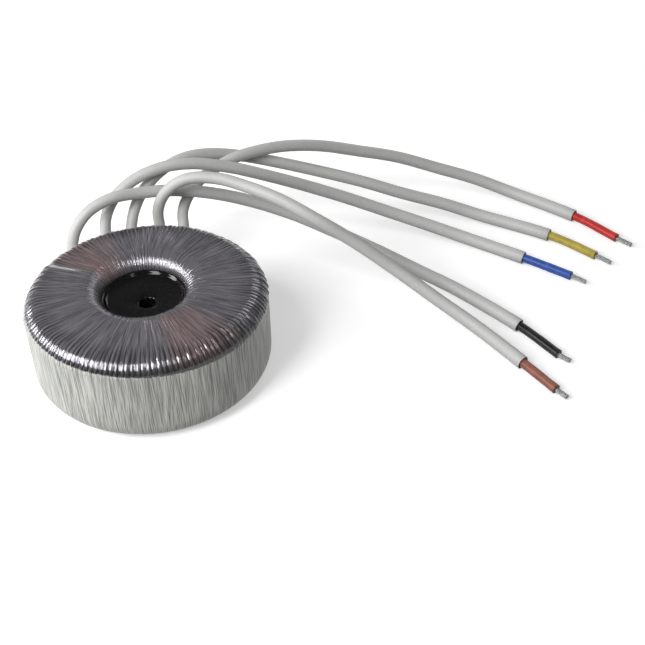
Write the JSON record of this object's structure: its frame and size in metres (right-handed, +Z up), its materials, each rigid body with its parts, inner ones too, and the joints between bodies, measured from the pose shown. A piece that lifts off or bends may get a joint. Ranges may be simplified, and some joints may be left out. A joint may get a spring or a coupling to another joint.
{
  "type": "toroidal transformer",
  "caption": "Ring-shaped mains transformer wrapped in pleated clear film, with a resin-filled centre, a mounting hole and sleeved leads with stripped ends.",
  "frame": {"origin": "centre of the base, on the surface that the transformer stands on", "axes": "+Z up along the ring's axis, +X towards the free ends of the leads, +Y towards the side where the leads leave the wrap"},
  "size_m": [0.253, 0.1628, 0.056],
  "materials": {
    "core_steel": "strip-wound silicon steel",
    "cap_plastic": "moulded polyester",
    "insulating_tape": "polyester tape",
    "winding_copper": "enamelled copper wire",
    "polyester_film": "glossy clear film, gathered in pleats over the turns",
    "potting_resin": "glossy cast resin",
    "lead_sleeving": "satin shrink sleeving",
    "red_insulation": "satin",
    "yellow_insulation": "satin",
    "blue_insulation": "satin",
    "black_insulation": "satin",
    "brown_insulation": "satin",
    "tinned_copper": "tinned strands"
  },
  "bodies": {
    "root": {"core": "core_steel", "core_cap_upper": "cap_plastic", "core_cap_lower": "cap_plastic", "core_tape": "insulating_tape", "primary_winding": "winding_copper", "interwinding_tape": "insulating_tape", "secondary_winding_a": "winding_copper", "secondary_winding_b": "winding_copper", "film_wrap": "polyester_film", "centre_potting": "potting_resin", "red_sleeve": "lead_sleeving", "red_insulation": "red_insulation", "red_conductor": "tinned_copper", "yellow_sleeve": "lead_sleeving", "yellow_insulation": "yellow_insulation", "yellow_conductor": "tinned_copper", "blue_sleeve": "lead_sleeving", "blue_insulation": "blue_insulation", "blue_conductor": "tinned_copper", "black_sleeve": "lead_sleeving", "black_insulation": "black_insulation", "black_conductor": "tinned_copper", "brown_sleeve": "lead_sleeving", "brown_insulation": "brown_insulation", "brown_conductor": "tinned_copper"}
  },
  "joints": []
}
